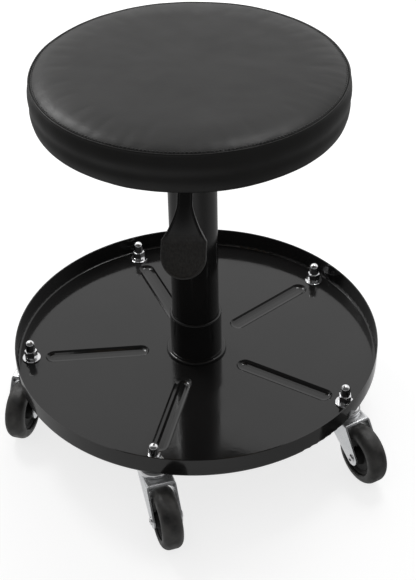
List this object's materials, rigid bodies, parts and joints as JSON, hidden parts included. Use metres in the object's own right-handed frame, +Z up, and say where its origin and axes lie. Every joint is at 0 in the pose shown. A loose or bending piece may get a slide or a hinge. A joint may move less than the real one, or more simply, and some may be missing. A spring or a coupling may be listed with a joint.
{
  "type": "creeper seat",
  "caption": "Round padded workshop seat on a gas lift column, with a release lever, a round parts tray and swivel casters.",
  "frame": {"origin": "on the floor under the column's axis", "axes": "+Z up along the column, front caster towards -Y"},
  "size_m": [0.4188, 0.4383, 0.416],
  "materials": {
    "black_paint": "gloss powder coat",
    "black_plastic": "satin moulding",
    "zinc_steel": "bright zinc plate",
    "bearing_steel": "ground",
    "chrome": "bright chrome plate",
    "tyre_rubber": "smooth black rubber",
    "buffer_rubber": "matt",
    "leathercloth": "fine grain, satin",
    "foam": "open cell foam",
    "plywood": "unfinished plywood"
  },
  "bodies": {
    "base": {"tray": "black_paint", "column_collar": "black_paint", "lift_tube": "black_paint", "tube_end_plate": "zinc_steel", "guide_bush": "black_plastic", "swivel_balls": "bearing_steel", "stem_washers": "chrome", "lock_washers": "chrome", "acorn_nuts": "chrome", "front_stem": "chrome", "front_raceway_cap": "chrome", "right_stem": "chrome", "right_raceway_cap": "chrome", "rear_right_stem": "chrome", "rear_right_raceway_cap": "chrome", "rear_left_stem": "chrome", "rear_left_raceway_cap": "chrome", "left_stem": "chrome", "left_raceway_cap": "chrome"},
    "rod": {"piston_rod": "chrome", "rod_clip": "zinc_steel", "thrust_bearing": "bearing_steel", "rubber_buffer": "buffer_rubber", "piston": "bearing_steel"},
    "seat": {"gas_cylinder": "black_paint", "rod_guide": "black_plastic", "valve_plug": "bearing_steel", "taper_socket": "black_paint", "lever_bracket": "black_paint", "lever_pin": "zinc_steel", "seat_plate": "black_paint", "plate_bolts": "zinc_steel", "tee_nuts": "zinc_steel", "seat_board": "plywood", "seat_cover": "leathercloth", "seat_foam": "foam", "cover_staples": "zinc_steel"},
    "lever": {"lever_arm": "black_paint", "lever_paddle": "black_plastic"},
    "valve": {"valve_pin": "bearing_steel"},
    "front_swivel_body": {"front_fork": "zinc_steel", "front_axle": "chrome"},
    "front_wheel_body": {"front_tyre": "tyre_rubber", "front_hub": "black_plastic"},
    "right_swivel_body": {"right_fork": "zinc_steel", "right_axle": "chrome"},
    "right_wheel_body": {"right_tyre": "tyre_rubber", "right_hub": "black_plastic"},
    "rear_right_swivel_body": {"rear_right_fork": "zinc_steel", "rear_right_axle": "chrome"},
    "rear_right_wheel_body": {"rear_right_tyre": "tyre_rubber", "rear_right_hub": "black_plastic"},
    "rear_left_swivel_body": {"rear_left_fork": "zinc_steel", "rear_left_axle": "chrome"},
    "rear_left_wheel_body": {"rear_left_tyre": "tyre_rubber", "rear_left_hub": "black_plastic"},
    "left_swivel_body": {"left_fork": "zinc_steel", "left_axle": "chrome"},
    "left_wheel_body": {"left_tyre": "tyre_rubber", "left_hub": "black_plastic"}
  },
  "joints": [
    {"name": "seat_swivel", "type": "hinge", "parent": "base", "child": "rod", "pos_m": [0, 0, 0.0768], "axis": [0, 0, 1], "continuous": true},
    {"name": "seat_lift", "type": "slide", "parent": "rod", "child": "seat", "axis": [0, 0, 1], "range_m": [0, 0.12]},
    {"name": "lever_lift", "type": "hinge", "parent": "seat", "child": "lever", "pos_m": [0.00334, -0.02377, 0.3634], "axis": [-0.9903, -0.1392, 0], "range_deg": [0, 10]},
    {"name": "valve_press", "type": "slide", "parent": "seat", "child": "valve", "axis": [0, 0, 1], "range_m": [-0.0048, 0]},
    {"name": "front_swivel", "type": "hinge", "parent": "base", "child": "front_swivel_body", "pos_m": [0, -0.18, 0.0645], "axis": [0, 0, 1], "continuous": true},
    {"name": "front_roll", "type": "hinge", "parent": "front_swivel_body", "child": "front_wheel_body", "pos_m": [0.01909, -0.21228, 0.03175], "axis": [0.8607, 0.509, 0], "continuous": true},
    {"name": "right_swivel", "type": "hinge", "parent": "base", "child": "right_swivel_body", "pos_m": [0.17119, -0.05562, 0.0645], "axis": [0, 0, 1], "continuous": true},
    {"name": "right_roll", "type": "hinge", "parent": "right_swivel_body", "child": "right_wheel_body", "pos_m": [0.19662, -0.08318, 0.03175], "axis": [0.7349, 0.6782, 0], "continuous": true},
    {"name": "rear_right_swivel", "type": "hinge", "parent": "base", "child": "rear_right_swivel_body", "pos_m": [0.1058, 0.14562, 0.0645], "axis": [0, 0, 1], "continuous": true},
    {"name": "rear_right_roll", "type": "hinge", "parent": "rear_right_swivel_body", "child": "rear_right_wheel_body", "pos_m": [0.11487, 0.10924, 0.03175], "axis": [0.9703, 0.2419, 0], "continuous": true},
    {"name": "rear_left_swivel", "type": "hinge", "parent": "base", "child": "rear_left_swivel_body", "pos_m": [-0.1058, 0.14562, 0.0645], "axis": [0, 0, 1], "continuous": true},
    {"name": "rear_left_roll", "type": "hinge", "parent": "rear_left_swivel_body", "child": "rear_left_wheel_body", "pos_m": [-0.0882, 0.11251, 0.03175], "axis": [0.8829, 0.4695, 0], "continuous": true},
    {"name": "left_swivel", "type": "hinge", "parent": "base", "child": "left_swivel_body", "pos_m": [-0.17119, -0.05562, 0.0645], "axis": [0, 0, 1], "continuous": true},
    {"name": "left_roll", "type": "hinge", "parent": "left_swivel_body", "child": "left_wheel_body", "pos_m": [-0.17204, -0.09311, 0.03175], "axis": [0.9997, -0.0227, 0], "continuous": true}
  ],
  "couplings": [
    {"joint": "valve_press", "follows": "lever_lift", "m_per_rad": -0.027}
  ]
}
